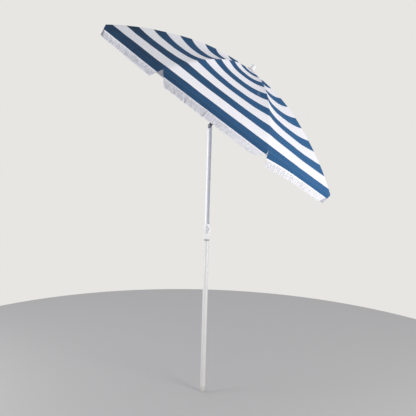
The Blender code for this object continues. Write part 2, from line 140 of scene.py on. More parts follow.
@dataclass
class NodeWiring:
    """Short ways of adding nodes to one node tree."""

    tree: bpy.types.NodeTree

    def feed(self, sockets: object, values: dict) -> None:
        """Links sockets to others, or sets them to plain values.

        Args:
            sockets: The input sockets, by name or number.
            values: Name or number to an output socket, a number or a colour.
        """
        for name, value in values.items():
            if isinstance(value, Socket):
                self.tree.links.new(value, sockets[name])
            elif sockets[name].type == "RGBA":
                sockets[name].default_value = (*value, 1.0)
            else:
                sockets[name].default_value = value

    def add(self, kind: str, inputs: dict | None = None, **settings: object) -> bpy.types.Node:
        """Adds a node.

        Args:
            kind: The node's type, without its ShaderNode prefix.
            inputs: Socket name or number to socket or value.
            **settings: Properties of the node itself.

        Returns:
            The new node.
        """
        node = self.tree.nodes.new("ShaderNode" + kind)
        for name, value in settings.items():
            setattr(node, name, value)
        self.feed(node.inputs, inputs or {})
        return node

    def math(self, operation: str, first: object, second: object = 0.0,
             third: object = 0.0) -> Socket:
        """One arithmetic step on up to three values."""
        return self.add("Math", {0: first, 1: second, 2: third}, operation=operation).outputs[0]

    def times(self, first: object, second: object) -> Socket:
        """The product of two values."""
        return self.math("MULTIPLY", first, second)

    def scaled(self, value: object, factor: object, offset: object) -> Socket:
        """A value times a factor, plus an offset."""
        return self.math("MULTIPLY_ADD", value, factor, offset)

    def blend(self, share: object, first: object, second: object) -> Socket:
        """The first colour where the share is 0 and the second where it is 1."""
        return self.add("Mix", {0: share, 6: first, 7: second}, data_type="RGBA").outputs[2]

    def ramp(self, value: object, low: float, high: float, out_low: float = 0.0,
             out_high: float = 1.0) -> Socket:
        """Maps low to out_low and high to out_high, clamped at both ends."""
        return self.add("MapRange", {0: value, 1: low, 2: high, 3: out_low, 4: out_high}).outputs[0]

    def noise(self, vector: object, scale: object, detail: float = 3.0,
              roughness: float = 0.5) -> Socket:
        """Fractal noise as one value from 0 to 1."""
        return self.add("TexNoise", {"Vector": vector, "Scale": scale, "Detail": detail,
                                     "Roughness": roughness}).outputs[0]

    def parts(self, vector: Socket) -> object:
        """The X, Y and Z of a vector."""
        return self.add("SeparateXYZ", {0: vector}).outputs

    def joined(self, *parts: object) -> Socket:
        """A vector from its parts."""
        return self.add("CombineXYZ", dict(enumerate(parts))).outputs[0]

    def place(self) -> Socket:
        """The place on the object."""
        return self.add("TexCoord").outputs["Object"]

    def cut(self) -> Socket:
        """The place in the cloth's flat cut."""
        return self.add("Attribute", attribute_name=CUT).outputs["Vector"]

    def bump(self, height: Socket, relief: Relief, **below: Socket) -> Socket:
        """Turns a height into a normal, laid over the one given as Normal."""
        return self.add("Bump", {"Height": height, "Distance": relief.height,
                                 "Strength": relief.strength, **below}).outputs[0]

    def group(self, tree: bpy.types.NodeTree, inputs: dict[str, object]) -> object:
        """Places a node group.

        Args:
            tree: The group.
            inputs: Values or sockets for its inputs.

        Returns:
            Its outputs.
        """
        node = self.tree.nodes.new("ShaderNodeGroup")
        node.node_tree = tree
        self.feed(node.inputs, inputs)
        return node.outputs


def new_group(name: str, inputs: dict[str, float | None],
              outputs: list[str]) -> tuple[NodeWiring, object, object]:
    """Starts a shader node group.

    Args:
        name: The group's name.
        inputs: Input name to its default value; None makes a vector input.
        outputs: Names of the value outputs.

    Returns:
        The group's wiring, its inputs by name and the sockets that its outputs end in.
    """
    tree = bpy.data.node_groups.new(name, "ShaderNodeTree")
    for title, value in inputs.items():
        kind = "NodeSocketVector" if value is None else "NodeSocketFloat"
        made = tree.interface.new_socket(title, in_out="INPUT", socket_type=kind)
        if value is not None:
            made.default_value = value
    for title in outputs:
        tree.interface.new_socket(title, in_out="OUTPUT", socket_type="NodeSocketFloat")
    start = tree.nodes.new("NodeGroupInput")
    end = tree.nodes.new("NodeGroupOutput")
    return NodeWiring(tree), start.outputs, end.inputs


def new_material(name: str) -> tuple[bpy.types.Material, NodeWiring, object]:
    """Starts a material.

    Args:
        name: The material's name.

    Returns:
        The material, its wiring and its shader's inputs.
    """
    material = bpy.data.materials.new(name)
    material.use_nodes = True
    shader = material.node_tree.nodes["Principled BSDF"]
    return material, NodeWiring(material.node_tree), shader.inputs


class SharedEffects:
    """The node groups that several finishes use."""

    def __init__(self) -> None:
        """Builds every group once."""
        self.weave = self.build_weave()
        self.stitches = self.build_stitches()
        self.ageing = self.build_ageing()
        self.wear = self.build_wear()

    def build_weave(self) -> bpy.types.NodeTree:
        """Plain weave: threads cross over and under each other, and some run thicker.

        Returns:
            The group.
        """
        wiring, given, ends = new_group("plain_weave", {"Across": 0.0, "Along": 0.0, "Pitch": 0.001},
                                        ["Height", "Slub"])
        across = wiring.math("DIVIDE", given["Across"], given["Pitch"])
        along = wiring.math("DIVIDE", given["Along"], given["Pitch"])
        warp = wiring.math("SINE", wiring.times(across, math.pi))
        weft = wiring.math("SINE", wiring.times(along, math.pi))
        change_across, change_along = 0.9, 0.02
        streak = wiring.joined(wiring.times(across, change_across), wiring.times(along, change_along))
        wiring.feed(ends, {"Height": wiring.scaled(wiring.times(warp, weft), 0.5, 0.5),
                           "Slub": wiring.noise(streak, 1.0, 2.0)})
        return wiring.tree

    def build_stitches(self) -> bpy.types.NodeTree:
        """A row of stitches: dashes where Distance is near 0, spaced along Run.

        Returns:
            The group.
        """
        wiring, given, ends = new_group("stitch_row", {"Distance": 0.0, "Run": 0.0, "Pitch": 0.0035,
                                                       "Width": 0.0007}, ["Mask", "Height"])
        off = wiring.math("DIVIDE", wiring.math("ABSOLUTE", given["Distance"]), given["Width"])
        step = wiring.math("FRACT", wiring.math("DIVIDE", given["Run"], given["Pitch"]))
        bow = wiring.math("SINE", wiring.times(step, math.pi))
        mask = wiring.times(wiring.ramp(off, 1.0, 0.4), wiring.ramp(bow, 0.25, 0.6))
        dent, thread_height = wiring.ramp(off, 3.0, 0.5), 1.4
        wiring.feed(ends, {"Mask": mask, "Height": wiring.math(
            "SUBTRACT", wiring.times(mask, thread_height), dent)})
        return wiring.tree

    def build_ageing(self) -> bpy.types.NodeTree:
        """Cloth that has been outdoors: slow fading, soft rumples and a little dust.

        Returns:
            The group.
        """
        wiring, given, ends = new_group("cloth_ageing", {"Place": None, "Size": 1.0},
                                        ["Fade", "Rumple", "Dust"])
        slow, fast, specks = (wiring.times(given["Size"], scale) for scale in (3.2, 26.0, 90.0))
        faded = wiring.noise(given["Place"], slow, 4.0)
        dusty = wiring.noise(given["Place"], specks, 5.0, 0.7)
        wiring.feed(ends, {"Fade": wiring.ramp(faded, 0.3, 0.72),
                           "Rumple": wiring.noise(given["Place"], fast, 2.0, 0.4),
                           "Dust": wiring.ramp(dusty, 0.56, 0.8)})
        return wiring.tree

    def build_wear(self) -> bpy.types.NodeTree:
        """Hard surfaces: fine grain, long thin scratches and settled grime.

        Returns:
            The group.
        """
        wiring, given, ends = new_group("surface_wear", {"Place": None, "Grain": 1.0, "Stretch": 1.0},
                                        ["Grain", "Scratch", "Grime"])
        place, finest = given["Place"], 900.0
        x, y, z = wiring.parts(place)
        drawn = wiring.joined(x, y, wiring.math("DIVIDE", z, given["Stretch"]))
        line = wiring.math("ABSOLUTE", wiring.math("SUBTRACT", wiring.noise(drawn, 160.0, 2.0, 0.55),
                                                   0.5))
        patch = wiring.ramp(wiring.noise(place, 14.0, 2.0), 0.5, 0.66)
        settled = wiring.noise(place, 34.0, 5.0, 0.65)
        wiring.feed(ends, {
            "Grain": wiring.noise(place, wiring.times(given["Grain"], finest), 4.0, 0.6),
            "Scratch": wiring.times(wiring.ramp(line, 0.012, 0.002), patch),
            "Grime": wiring.ramp(settled, 0.52, 0.78)})
        return wiring.tree


# Finishes -------------------------------------------------------------------------------------


@dataclass(frozen=True)
class HardFinish:
    """Paint, moulded plastic or bare metal.

    Args:
        dirt: The colour of grime in its hollows.
        grain: Fineness of the surface's grain, 1 for about a millimetre.
        grain_height: Height of the grain's bump, in metres.
        stretch: How much longer than wide the scratches are.
        grime: How much grime shows.
        uneven: By how much the grain changes the roughness.
        scuffed: How much rougher a scratch is.
        dulled: How much rougher grime is.
        scratch_depth: Depth of a scratch beside the grain's height.
    """

    name: str
    color: Color
    dirt: Color
    roughness: float
    metallic: float = 0.0
    coat: float = 0.0
    grain: float = 1.0
    grain_height: float = 0.00004
    stretch: float = 8.0
    grime: float = 0.25
    uneven: float = 0.10
    scuffed: float = 0.18
    dulled: float = 0.3
    scratch_depth: float = 1.2
    coat_roughness: float = 0.12

    def build(self, effects: SharedEffects) -> bpy.types.Material:
        """Makes the material.

        Args:
            effects: The shared node groups.

        Returns:
            The material.
        """
        material, wiring, surface = new_material(self.name)
        wear = wiring.group(effects.wear, {"Place": wiring.place(), "Grain": self.grain,
                                           "Stretch": self.stretch})
        grime = wiring.times(wear["Grime"], self.grime)
        rough = wiring.scaled(wear["Grain"], self.uneven, self.roughness - self.uneven / 2)
        rough = wiring.scaled(wear["Scratch"], self.scuffed, rough)
        height = wiring.scaled(wear["Scratch"], -self.scratch_depth, wear["Grain"])
        wiring.feed(surface, {"Base Color": wiring.blend(grime, self.color, self.dirt),
                              "Roughness": wiring.scaled(grime, self.dulled, rough),
                              "Metallic": self.metallic, "Coat Weight": self.coat,
                              "Coat Roughness": self.coat_roughness,
                              "Normal": wiring.bump(height, Relief(self.grain_height, 0.6))})
        return material


@dataclass(frozen=True)
class StripedCanvas:
    """Canvas woven in blue and white stripes that run along the hem. Sizes are in metres.

    Args:
        shaded_blue: The blue on the canopy's left, darkened with painted shade.
        lit_blue: The blue on its right, lightened with painted light.
        lit_from: Where along X the painted shade starts giving way to the painted light, which is full
            at lit_to.
        pair: Width of one blue and one white stripe together.
        blue_share: The blue stripe's share of a pair.
        edge: Half the softness of a stripe's edge, as a share of a pair.
        ragged: How uneven the stripes' edges are.
        first_blue: Where the blue stripe at the hem would end, above its fold.
        hem_band: How far the blue facing of the hem reaches above its fold.
        pitch: Distance between threads.
        seam_row: Distance of each stitch row from the seam on a rib.
        hem_row: Distance of the hem's stitch row below its fold.
        hollow_shade: Painted shade between the threads, darker where the weave lies low.
        slub: The thicker threads.
        underside: The paler look of the inner face.
        rumples: The cloth's soft rumples.
        sewing: The stitches and the dents beside them.
        threads: The weave.
    """

    shaded_blue: Color = (0.014, 0.034, 0.064)
    lit_blue: Color = (0.030, 0.105, 0.235)
    white: Color = (0.85, 0.84, 0.87)
    lit_from: float = -0.42
    lit_to: float = 0.55
    pair: float = 0.158
    blue_share: float = 0.463
    edge: float = 0.004
    ragged: float = 0.0006
    first_blue: float = 0.028
    hem_band: float = 0.036
    pitch: float = 0.0011
    seam_row: float = 0.0035
    hem_row: float = 0.004
    hollow_shade: Tint = Tint((0.012, 0.030, 0.070), 0.16)
    slub: Tint = Tint((0.78, 0.80, 0.84), 0.012)
    dust: Tint = Tint((0.42, 0.38, 0.33), 0.03)
    thread: Tint = Tint((0.40, 0.45, 0.55), 0.16)
    underside: Tint = Tint((0.40, 0.44, 0.52), 0.22)
    rumples: Relief = Relief(0.004, 0.22)
    sewing: Relief = Relief(0.0004, 0.35)
    threads: Relief = Relief(0.0004, 0.55)
    specular: float = 0.04

    def build(self, face: Face, effects: SharedEffects) -> bpy.types.Material:
        """Makes the material of one face.

        Args:
            face: The outer face, or the paler one underneath.
            effects: The shared node groups.

        Returns:
            The material.
        """
        material, wiring, surface = new_material(f"striped_canvas_{face.value}")
        cut, place = wiring.cut(), wiring.place()
        across, up, _ = wiring.parts(cut)
        weave = wiring.group(effects.weave, {"Across": across, "Along": up, "Pitch": self.pitch})
        ageing = wiring.group(effects.ageing, {"Place": place, "Size": 1.0})
        beside = wiring.math("SUBTRACT", wiring.math("ABSOLUTE", across), self.seam_row)
        seam = wiring.group(effects.stitches, {"Distance": beside, "Run": up})
        below = wiring.math("ADD", up, self.hem_row)
        hem = wiring.group(effects.stitches, {"Distance": below, "Run": across})

        # Painted shade and light: the blue is darker on the canopy's left, where it lies in shade, and
        # brighter on its right.
        lit_share = wiring.ramp(wiring.parts(place)[0], self.lit_from, self.lit_to)
        blue = wiring.blend(lit_share, self.shaded_blue, self.lit_blue)
        blue = wiring.blend(wiring.times(ageing["Fade"], 0.2), blue,
                            [channel * 2 for channel in self.lit_blue])
        white = wiring.blend(ageing["Fade"], self.white, [channel * 0.95 for channel in self.white])
        color = wiring.blend(self.stripes(wiring, cut, up), white, blue)
        sewn = wiring.math("MAXIMUM", seam["Mask"], hem["Mask"])
        # The first tint is painted shade in the weave's hollows; the others are the yarn's slubs, dust,
        # the stitching thread and the inner face.
        for tint, share in (
            (self.hollow_shade, wiring.ramp(weave["Height"], 0.0, 1.0, self.hollow_shade.share, 0.0)),
            (self.slub, wiring.ramp(weave["Slub"], 0.35, 0.7, 0.0, self.slub.share)),
            (self.dust, wiring.times(ageing["Dust"], self.dust.share)),
            (self.thread, wiring.times(sewn, self.thread.share)),
            (self.underside, self.underside.share if face is Face.UNDER else None),
        ):
            if share is not None:
                color = wiring.blend(share, color, tint.color)

        stitched = wiring.math("ADD", seam["Height"], hem["Height"])
        normal = wiring.bump(ageing["Rumple"], self.rumples)
        normal = wiring.bump(stitched, self.sewing, Normal=normal)
        normal = wiring.bump(weave["Height"], self.threads, Normal=normal)
        wiring.feed(surface, {"Base Color": color, "Specular IOR Level": self.specular,
                              "Roughness": wiring.scaled(weave["Height"], -0.12, 0.86),
                              "Normal": normal})
        return material

    def stripes(self, wiring: NodeWiring, cut: Socket, up: Socket) -> Socket:
        """Where the yarn is blue.

        Args:
            wiring: The material's wiring.
            cut: The place in the flat cut.
            up: The distance above the fold of the hem.

        Returns:
            1 on the blue stripes and on the hem's facing, 0 on the white ones.
        """
        ragged = wiring.times(wiring.noise(cut, 700.0, 2.0), self.ragged)
        shifted = wiring.math("ADD", wiring.math("SUBTRACT", up, self.first_blue), ragged)
        turn = wiring.math("FRACT", wiring.math("DIVIDE", shifted, self.pair))
        start, edge, half_mm = 1.0 - self.blue_share, self.edge, 0.0005
        striped = wiring.times(wiring.ramp(turn, start - edge, start + edge),
                               wiring.ramp(turn, 1.0 + edge, 1.0 - edge))
        faced = wiring.ramp(wiring.math("ADD", up, ragged), self.hem_band + half_mm,
                            self.hem_band - half_mm)
        return wiring.math("MAXIMUM", striped, faced)


@dataclass(frozen=True)
class YarnFinish:
    """White cotton yarn, for the fringe and its braid.

    Args:
        shade: Its colour where it is soiled, and the colour of the painted shade in the twist's hollows
            and across the front.
        ply: Distance between the twists, in metres.
        patches: How small the soiled patches are.
        soiled: How much a patch is soiled.
        dull: How much the rest is soiled.
        uneven: How much more one strand may be soiled than another.
        hollow_shade: How much painted shade darkens the twist's hollows.
        shade_fades_right: Where along X the soiling and the painted shade end, towards the right.
        shade_fades_left: The same towards the left, where some of it stays.
        shade_kept_left: How much of it stays there.
    """

    name: str
    color: Color = (0.84, 0.84, 0.88)
    shade: Color = (0.40, 0.39, 0.45)
    ply: float = 0.0022
    patches: float = 24.0
    soiled: float = 0.44
    dull: float = 0.14
    uneven: float = 0.08
    hollow_shade: float = 0.06
    shade_fades_right: tuple[float, float] = (-0.05, 0.40)
    shade_fades_left: tuple[float, float] = (-0.50, -0.30)
    shade_kept_left: float = 0.35
    sheen: float = 0.7

    def build(self, effects: SharedEffects) -> bpy.types.Material:
        """Makes the material.

        Args:
            effects: The shared node groups.

        Returns:
            The material.
        """
        material, wiring, surface = new_material(self.name)
        along, down, strand = wiring.parts(wiring.cut())
        slant = wiring.times(wiring.math("ADD", along, down), 2 * math.pi / self.ply)
        twist = wiring.scaled(wiring.math("SINE", slant), 0.5, 0.5)
        place = wiring.place()
        ageing = wiring.group(effects.ageing, {"Place": place, "Size": self.patches})
        soil_and_shade = wiring.scaled(strand, self.uneven, self.dull)
        soil_and_shade = wiring.scaled(ageing["Fade"], self.soiled, soil_and_shade)
        # Painted shade in the twist's hollows.
        soil_and_shade = wiring.scaled(twist, -self.hollow_shade, soil_and_shade)
        # Painted shade: the soiling and shade are kept across the front and thinned towards the sides,
        # with none on the right.
        side = wiring.parts(place)[0]
        soil_and_shade = wiring.times(soil_and_shade, wiring.ramp(side, *self.shade_fades_right, 1.0, 0.0))
        soil_and_shade = wiring.times(soil_and_shade, wiring.ramp(side, *self.shade_fades_left, self.shade_kept_left, 1.0))
        wiring.feed(surface, {"Base Color": wiring.blend(soil_and_shade, self.color, self.shade),
                              "Roughness": wiring.scaled(twist, -0.1, 0.9),
                              "Sheen Weight": self.sheen,
                              "Normal": wiring.bump(twist, Relief(0.0003, 0.5))})
        return material


@dataclass
class Wardrobe:
    """Every finish of the umbrella, made once.

    Args:
        made: Finish name to its material.
    """

    effects: SharedEffects
    made: dict[str, bpy.types.Material] = field(default_factory=dict)

    def __post_init__(self) -> None:
        """Builds all the materials."""
        grime, soot = (0.30, 0.27, 0.23), (0.16, 0.15, 0.14)
        hard = [
            HardFinish("lower_pole_paint", (0.66, 0.655, 0.64), grime, 0.42, coat=0.25, grime=0.14,
                       stretch=30.0),
            HardFinish("upper_pole_lacquer", (0.87, 0.87, 0.91), grime, 0.26, coat=0.4, grime=0.06,
                       stretch=40.0, grain_height=0.00002),
            HardFinish("spike_plastic", (0.60, 0.58, 0.55), grime, 0.5, grime=0.55),
            HardFinish("white_moulding", (0.76, 0.76, 0.76), grime, 0.36, grime=0.18),
            HardFinish("crown_moulding", (0.66, 0.66, 0.67), grime, 0.40),
            HardFinish("dark_moulding", (0.055, 0.056, 0.062), soot, 0.5, grime=0.3),
            HardFinish("slate_moulding", (0.10, 0.14, 0.17), (0.20, 0.21, 0.22), 0.42),
            HardFinish("grey_moulding", (0.30, 0.30, 0.31), soot, 0.45, grime=0.2),
            HardFinish("brass_turning", (0.34, 0.20, 0.09), (0.12, 0.07, 0.04), 0.45, metallic=0.6,
                       grime=0.7),
            HardFinish("drawn_steel", (0.62, 0.62, 0.63), (0.22, 0.20, 0.18), 0.28, metallic=1.0,
                       grime=0.3, stretch=2.0),
            HardFinish("rib_enamel", (0.70, 0.70, 0.71), grime, 0.34, coat=0.3, grime=0.2,
                       stretch=3.0),
        ]
        for finish in hard:
            self.made[finish.name] = finish.build(self.effects)
        for face in Face:
            self.made[f"canvas_{face.value}"] = StripedCanvas().build(face, self.effects)
        for name in ("fringe_yarn", "braid_cotton"):
            self.made[name] = YarnFinish(name).build(self.effects)


# Pieces ---------------------------------------------------------------------------------------


def dress(obj: bpy.types.Object, *materials: bpy.types.Material) -> bpy.types.Object:
    """Replaces an object's materials.

    Args:
        obj: The object.
        *materials: Its new materials, in slot order.

    Returns:
        The object.
    """
    obj.data.materials.clear()
    for material in materials:
        obj.data.materials.append(material)
    return obj


def link(name: str, data: bpy.types.ID) -> bpy.types.Object:
    """Puts a mesh, a light or a camera in the scene under a name.

    Args:
        name: The object's name.
        data: The mesh, light or camera.

    Returns:
        The object.
    """
    obj = bpy.data.objects.new(name, data)
    bpy.context.scene.collection.objects.link(obj)
    return obj


def split_edges(piece: bpy.types.Object, degrees: float) -> None:
    """Keeps edges sharp that turn by more than an angle."""
    split = piece.modifiers.new("Crease", "EDGE_SPLIT")
    split.split_angle = math.radians(degrees)


@dataclass
class HeadFrame:
    """The head's own frame: origin on the tilt pin, +Z along the canopy's axis.

    Args:
        joints: Joint name to its entry in the record.
    """

    joints: dict[str, dict]

    @property
    def axis(self) -> Vector:
        """The canopy's axis, pointing out through the crown."""
        return -Vector(self.joints["runner_slide"]["axis"]).normalized()

    @property
    def matrix(self) -> Matrix:
        """Takes the head's coordinates to the frame's.

        Returns:
            The matrix.
        """
        up, side = self.axis, Vector((0, 1, 0))
        turned = Matrix((side.cross(up).normalized(), side, up)).transposed().to_4x4()
        return Matrix.Translation(self.joints["canopy_tilt"]["pos_m"]) @ turned

    def fold_joint(self, number: int) -> str:
        """The name of the joint that one rib folds on."""
        return "canopy_fold" if number == 1 else f"rib_{number}_fold"

    def rib_axis(self, number: int) -> Vector:
        """The direction of one rib's hinge, which runs along the hem there."""
        return Vector(self.joints[self.fold_joint(number)]["axis"])

    def rib_pivot(self, number: int) -> Vector:
        """Where one rib is hinged to the hub."""
        return Vector(self.joints[self.fold_joint(number)]["pos_m"])


# Canopy ---------------------------------------------------------------------------------------


@dataclass(frozen=True)
class CanopyShape:
    """The canopy's shape in the head's frame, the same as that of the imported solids.

    Args:
        rib_length: Length of the fabric over a rib, from the crown washer to the hem.
        start_radius: Radius at which the fabric over a rib starts.
        crown_height: Height of that start above the tilt pin.
        hub_slope: The rib's slope at the crown, in degrees.
        rim_slope: The rib's slope at the hem, in degrees.
        sag: How far the middle of a gore hangs below its ribs, in metres.
        sag_peak: Where along the rib the sag is largest, as a share.
        sag_spread: How flat the middle of a gore lies; 2 gives a plain parabola.
        sag_start: How late the sag begins near the crown; 1 makes it begin there at once.
        lift: How far the fabric stands off a rib, half-way along its loose part.
        lift_end: Where along the rib it lies down on it again, in metres.
        rumple: Height of the fabric's soft unevenness, in metres.
        flap_drop: How far the valance and its fringe hang below the hem.
        band_drop: How far the valance's own cloth hangs.
        flap_taper: How far the valance's lowest edge stops short of the rib.
    """

    ribs: int = 8
    rib_length: float = 0.900
    start_radius: float = 0.022
    crown_height: float = 0.4155
    hub_slope: float = 4.05
    rim_slope: float = 35.75
    sag: float = 0.025
    sag_peak: float = 0.46
    sag_spread: float = 2.5
    sag_start: float = 1.6
    lift: float = 0.006
    lift_end: float = 0.60
    rumple: float = 0.0016
    flap_drop: float = 0.070
    band_drop: float = 0.031
    flap_taper: float = 0.055

    @property
    def half_gore(self) -> float:
        """Half the angle between two ribs."""
        return math.pi / self.ribs

    @property
    def half_hem(self) -> float:
        """Distance from a rib to the middle of the gore, along the hem."""
        return self.half_width(self.rib_length)

    @property
    def bend(self) -> float:
        """How fast the rib's slope grows, in radians per metre."""
        return math.radians(self.rim_slope - self.hub_slope) / self.rib_length

    def slope(self, s: float) -> float:
        """The rib's slope, s metres along it."""
        return math.radians(self.hub_slope) + self.bend * s

    def ridge(self, s: float) -> tuple[float, float]:
        """Radius and height of the fabric over a rib, s metres along it.

        Args:
            s: Distance from the crown along the rib.

        Returns:
            The radius and the height.
        """
        first, here = math.radians(self.hub_slope), self.slope(s)
        radius = self.start_radius + (math.sin(here) - math.sin(first)) / self.bend
        height = self.crown_height + (math.cos(here) - math.cos(first)) / self.bend
        bow = math.sin(math.pi * min(s / self.lift_end, 1.0)) ** 2
        return radius, height + self.lift * bow

    def rib_angle(self, number: int) -> float:
        """The angle of rib 1, 2, ... about the canopy's axis."""
        return self.half_gore * (2 * number - 1)

    def half_width(self, s: float) -> float:
        """Distance from a rib to the middle of the gore, along the hem's direction."""
        return self.ridge(s)[0] * math.sin(self.half_gore)

    def hang(self, s: float, across: float) -> float:
        """How far the fabric hangs below the straight line between two ribs.

        Args:
            s: Distance from the crown along the rib.
            across: 0 on the rib and 1 in the middle of the gore.

        Returns:
            The distance, in metres.
        """
        share = min(max(s / self.rib_length, 0.0), 1.0)
        power = math.log(0.5) / math.log(self.sag_peak)
        along = math.sin(math.pi * share ** power) ** self.sag_start
        return self.sag * along * (1 - (1 - across) ** self.sag_spread)

    def point(self, number: int, reach: Reach, s: float, across: float,
              lower: float = 0.0) -> Vector:
        """A point of the fabric, in the head's frame.

        Args:
            number: The rib's number.
            reach: Which side of the rib the point is on.
            s: Distance from the crown along the rib.
            across: 0 on the rib and 1 in the middle of the gore.
            lower: Distance below the outer face.

        Returns:
            The point.
        """
        radius, height = self.ridge(s)
        half, slope = self.half_gore, self.slope(s)
        drop = self.hang(s, across) + lower
        x = radius * (1 - across * math.sin(half) ** 2) - drop * math.sin(slope) * math.cos(half)
        y = radius * across * math.cos(half) - drop * math.sin(slope)
        place = Vector((x, reach.value * y * math.sin(half), 0))
        place = Matrix.Rotation(self.rib_angle(number), 3, "Z") @ place
        place.z = height - drop * math.cos(slope)
        return place + self.unevenness(place, s, across)

    def unevenness(self, place: Vector, s: float, across: float) -> Vector:
        """Soft rumples of the cloth, none where it is held.

        Args:
            place: The point of the smooth cloth.
            s: Distance from the crown along the rib.
            across: 0 on the rib and 1 in the middle of the gore.

        Returns:
            How far the point is moved.
        """
        held_crown, held_hem, kept_at_hem, broad, narrow, middle = 0.06, 0.05, 0.25, 6.5, 15.0, 0.35
        held = min(across * 4.0, 1.0) * min(s / held_crown, 1.0)
        held *= min((self.rib_length - s) / held_hem + kept_at_hem, 1.0)
        swell = noise.noise(place * broad) + 0.5 * noise.noise(place * narrow)
        return Vector((0, 0, self.rumple * held * (swell - middle)))


@dataclass
class ClothMesh:
    """A grid of cloth being built, with its place in the flat cut kept at each point."""

    bm: bmesh.types.BMesh = field(default_factory=bmesh.new)

    def __post_init__(self) -> None:
        """Adds the layer that holds the place in the cut."""
        self.layer = self.bm.verts.layers.float_vector.new(CUT)

    def vert(self, place: Vector, cut: Triple) -> bmesh.types.BMVert:
        """Adds one point.

        Args:
            place: Where it is.
            cut: Where it lies in the flat cut.

        Returns:
            The point.
        """
        made = self.bm.verts.new(place)
        made[self.layer] = cut
        return made

    def grid(self, firsts: list, seconds: list,
             point: Callable[[object, object], tuple[Vector, Triple]]) -> list[list]:
        """Adds rows of points.

        Args:
            firsts: One value for each row.
            seconds: One value for each point of a row.
            point: Gives a point's place and its place in the cut from its two values.

        Returns:
            The rows.
        """
        return [[self.vert(*point(first, second)) for second in seconds] for first in firsts]

    def skin(self, rows: list[list], closed: bool = False, capped: bool = False) -> None:
        """Joins neighbouring rows of points with four-sided faces.

        Args:
            rows: Rows of equal length.
            closed: Whether each row's end joins its start.
            capped: Whether the first and the last row are filled.
        """
        for near, far in zip(rows, rows[1:]):
            count = len(near)
            for i in range(count if closed else count - 1):
                j = (i + 1) % count
                self.bm.faces.new((near[i], near[j], far[j], far[i]))
        if capped:
            self.bm.faces.new(rows[0])
            self.bm.faces.new(rows[-1])

    def finish(self, name: str, upward: Vector | None = None) -> bpy.types.Object:
        """Turns the faces one way and puts the piece in the scene.

        Args:
            name: The piece's name.
            upward: The way an open sheet's outer face looks on average.

        Returns:
            The piece, smooth shaded.
        """
        bmesh.ops.recalc_face_normals(self.bm, faces=self.bm.faces[:])
        if upward is not None:
            total = sum((face.normal * face.calc_area() for face in self.bm.faces), Vector())
            if total.dot(upward) < 0:
                bmesh.ops.reverse_faces(self.bm, faces=self.bm.faces[:])
        for face in self.bm.faces:
            face.smooth = True
        mesh = bpy.data.meshes.new(base_name(name))
        self.bm.to_mesh(mesh)
        self.bm.free()
        return link(name, mesh)


def thicken(piece: bpy.types.Object, thickness: float, offset: float = -1.0) -> bpy.types.Modifier:
    """Gives a sheet its thickness.

    Args:
        piece: The sheet.
        thickness: Its thickness.
        offset: -1 to grow inwards from the outer face and 0 to grow both ways.

    Returns:
        The modifier.
    """
    solid = piece.modifiers.new("Thickness", "SOLIDIFY")
    solid.thickness, solid.offset = thickness, offset
    return solid


@dataclass(frozen=True)
class Fringe:
    """Sizes of the fringe and its braid, in metres.

    Args:
        gap: Distance between the strands.
        radius: Radius of one strand at its root.
        thin: How much thinner its end is, as a share.
        flat: Its depth as a share of its width.
        spread: How far its end leans to a side, as a standard deviation.
        layer: How far it lies off the middle of the fringe.
        root: How far below the valance's edge it starts.
        backing: Steps along and down the layer of loops behind the strands.
        short: How much shorter that layer is than the strands.
        uneven: How much its cut end goes up and down, as a share.
        wave: Height of the soft waves.
        ripple: Height of the fine ones.
        braid_rise: How far the braid reaches above the valance's edge.
        braid_outline: The braid's section: distance outside the cloth and below its top.
    """

    gap: float = 0.0012
    radius: float = 0.0008
    thin: float = 0.45
    flat: float = 0.35
    spread: float = 0.0011
    layer: float = 0.0005
    root: float = 0.002
    backing: tuple[int, int] = (100, 6)
    short: float = 0.003
    steps: int = 5
    sides: int = 4
    uneven: float = 0.06
    wave: float = 0.0075
    ripple: float = 0.0030
    braid_steps: int = 60
    braid_rise: float = 0.003
    braid_outline: tuple[tuple[float, float], ...] = (
        (-0.0002, 0.0), (0.0005, 0.0006), (0.0007, 0.0035), (0.0006, 0.0064), (-0.0002, 0.007),
        (-0.0007, 0.0035))


@dataclass(frozen=True)
class TapeJoint:
    """Where the two ends of the fringe's tape meet: a short end folded over and sewn down.

    Args:
        across: Its two sides at the top, from 0 at the rib to 1 in the middle of the gore.
        slant: How far it has moved towards the rib at its lower end, in the same measure.
        bottom: Distance of its lower end below the fold of the hem.
        proud: Distance outside the valance.
    """

    rib: int = 6
    across: tuple[float, float] = (0.911, 0.926)
    slant: float = 0.018
    bottom: float = 0.062
    proud: float = 0.0060
    thickness: float = 0.0012


@dataclass(frozen=True)
class MendingPatch:
    """A small patch of the blue canvas, sewn on near a rib.

    Args:
        start: Its distance from the rib.
        above_hem: Distance of its top from the hem.
        proud: Distance outside the cloth.
    """

    rib: int = 7
    start: float = 0.046
    wide: float = 0.011
    tall: float = 0.040
    above_hem: float = 0.484
    proud: float = 0.0007
    thickness: float = 0.0006


